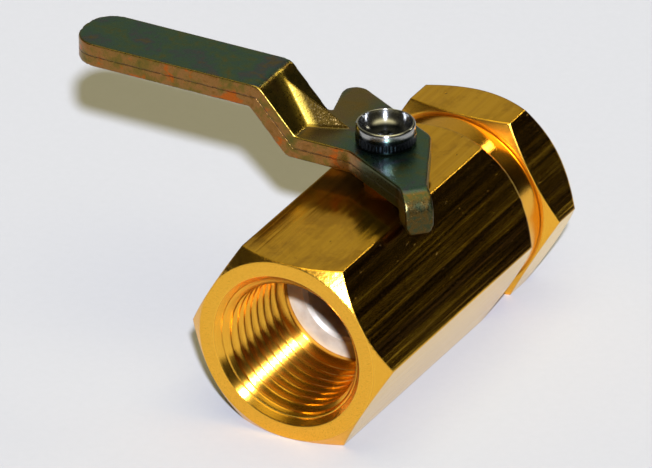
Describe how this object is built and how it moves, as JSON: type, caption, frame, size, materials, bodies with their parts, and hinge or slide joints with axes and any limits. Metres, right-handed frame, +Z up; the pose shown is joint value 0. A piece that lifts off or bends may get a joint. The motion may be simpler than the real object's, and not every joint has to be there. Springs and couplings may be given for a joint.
{
  "type": "ball valve",
  "caption": "Hexagonal brass ball valve with female pipe threads at both ends and a cranked flat steel lever on its stem.",
  "frame": {"origin": "on the bottom flat of the hexagon, straight below the stem", "axes": "+Z up along the stem; the flow axis runs along Y, with the inlet at -Y and the end cap at +Y; the shut lever points along -X"},
  "size_m": [0.0628, 0.0564, 0.0386],
  "materials": {
    "brass_body": "drawn and turned",
    "brass_cap": "drawn and turned",
    "stem_brass": "turned",
    "chrome_ball": "satin polished",
    "ptfe": "smooth",
    "nitrile": "matte",
    "zinc_chromate_steel": "yellow iridescent zinc plating",
    "dark_steel": "polished black nickel"
  },
  "bodies": {
    "housing": {"body": "brass_body", "end_cap": "brass_cap", "end_cap_o_ring": "nitrile", "seat_inlet": "ptfe", "seat_outlet": "ptfe"},
    "handle": {"stem": "stem_brass", "stem_thrust_washer": "ptfe", "stem_o_ring": "nitrile", "lever": "zinc_chromate_steel", "lever_retainer": "dark_steel"},
    "ball": {"ball": "chrome_ball"}
  },
  "joints": [
    {"name": "stem_turn", "type": "hinge", "parent": "housing", "child": "handle", "pos_m": [0, 0, 0.0135], "axis": [0, 0, 1], "range_deg": [0, 90]},
    {"name": "ball_turn", "type": "hinge", "parent": "housing", "child": "ball", "pos_m": [0, 0, 0.0135], "axis": [0, 0, 1], "range_deg": [0, 90]}
  ],
  "couplings": [
    {"joint": "ball_turn", "follows": "stem_turn", "ratio": 1}
  ]
}
